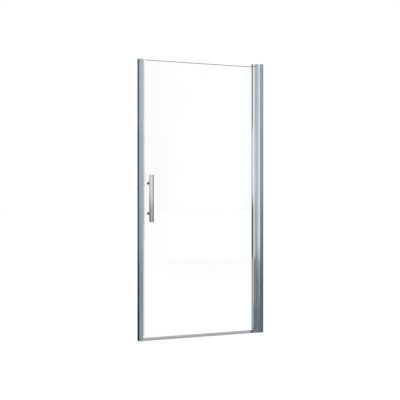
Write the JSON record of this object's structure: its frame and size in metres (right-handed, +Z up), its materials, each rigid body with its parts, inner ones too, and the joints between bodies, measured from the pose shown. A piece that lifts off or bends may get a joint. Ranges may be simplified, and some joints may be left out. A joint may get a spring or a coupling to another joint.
{
  "type": "pivot shower door",
  "caption": "Alcove pivot shower door: clear glass leaf on a round chromed post between pivot blocks, wall profiles at both sides, low threshold rail and round bar handle.",
  "frame": {"origin": "tray level, midway between the walls, in the middle plane of the glass", "axes": "+X from the strike side to the pivot side, +Y from the bathroom into the shower, +Z up"},
  "size_m": [0.9, 0.1026, 1.85],
  "materials": {
    "polished_profile": "bright polished and anodised",
    "polished_block": "chromed die casting",
    "cap_plastic": "chromed plastic",
    "steel": "stainless steel",
    "handle_metal": "satin brushed stainless steel",
    "clear_glass": "clear toughened glass, polished edges",
    "clear_pvc": "clear soft plastic",
    "grey_gasket": "soft grey",
    "black_plastic": "moulded",
    "white_nylon": "moulded, slippery",
    "magnet_strip": "flexible magnet, white"
  },
  "bodies": {
    "frame": {"wall_channel_left": "polished_profile", "wall_channel_right": "polished_profile", "strike_jamb": "polished_profile", "pivot_jamb": "polished_profile", "top_cap_left": "cap_plastic", "top_cap_right": "cap_plastic", "side_fixing_screws": "steel", "side_screw_caps": "cap_plastic", "strike_seal": "clear_pvc", "strike_magnet": "magnet_strip", "pivot_side_seal": "grey_gasket", "threshold_rail": "polished_profile", "rail_end_joiner_left": "black_plastic", "rail_end_joiner_right": "black_plastic", "rail_joiner_screws": "steel", "top_pivot_block": "polished_block", "bottom_pivot_block": "polished_block", "top_block_screws": "steel", "bottom_block_screws": "steel", "top_pivot_pin": "steel", "bottom_pivot_pin": "steel", "bottom_thrust_washer": "white_nylon"},
    "leaf": {"door_glass": "clear_glass", "pivot_stile": "polished_profile", "glazing_gasket": "grey_gasket", "stile_end_plug_bottom": "black_plastic", "stile_end_plug_top": "black_plastic", "bottom_bush": "white_nylon", "top_bush": "white_nylon", "top_spacer_washer": "white_nylon", "edge_seal": "clear_pvc", "edge_magnet": "magnet_strip", "drip_seal": "clear_pvc", "handle_bar": "handle_metal", "handle_end_caps": "handle_metal", "handle_posts": "handle_metal", "handle_outer_washers": "white_nylon", "handle_inner_washers": "white_nylon", "handle_sleeves": "white_nylon", "handle_bolts": "steel", "handle_inner_caps": "polished_block"}
  },
  "joints": [
    {"name": "leaf_pivot", "type": "hinge", "parent": "frame", "child": "leaf", "pos_m": [0.387, 0, 0.9], "axis": [0, 0, 1], "range_deg": [0, 100]}
  ]
}
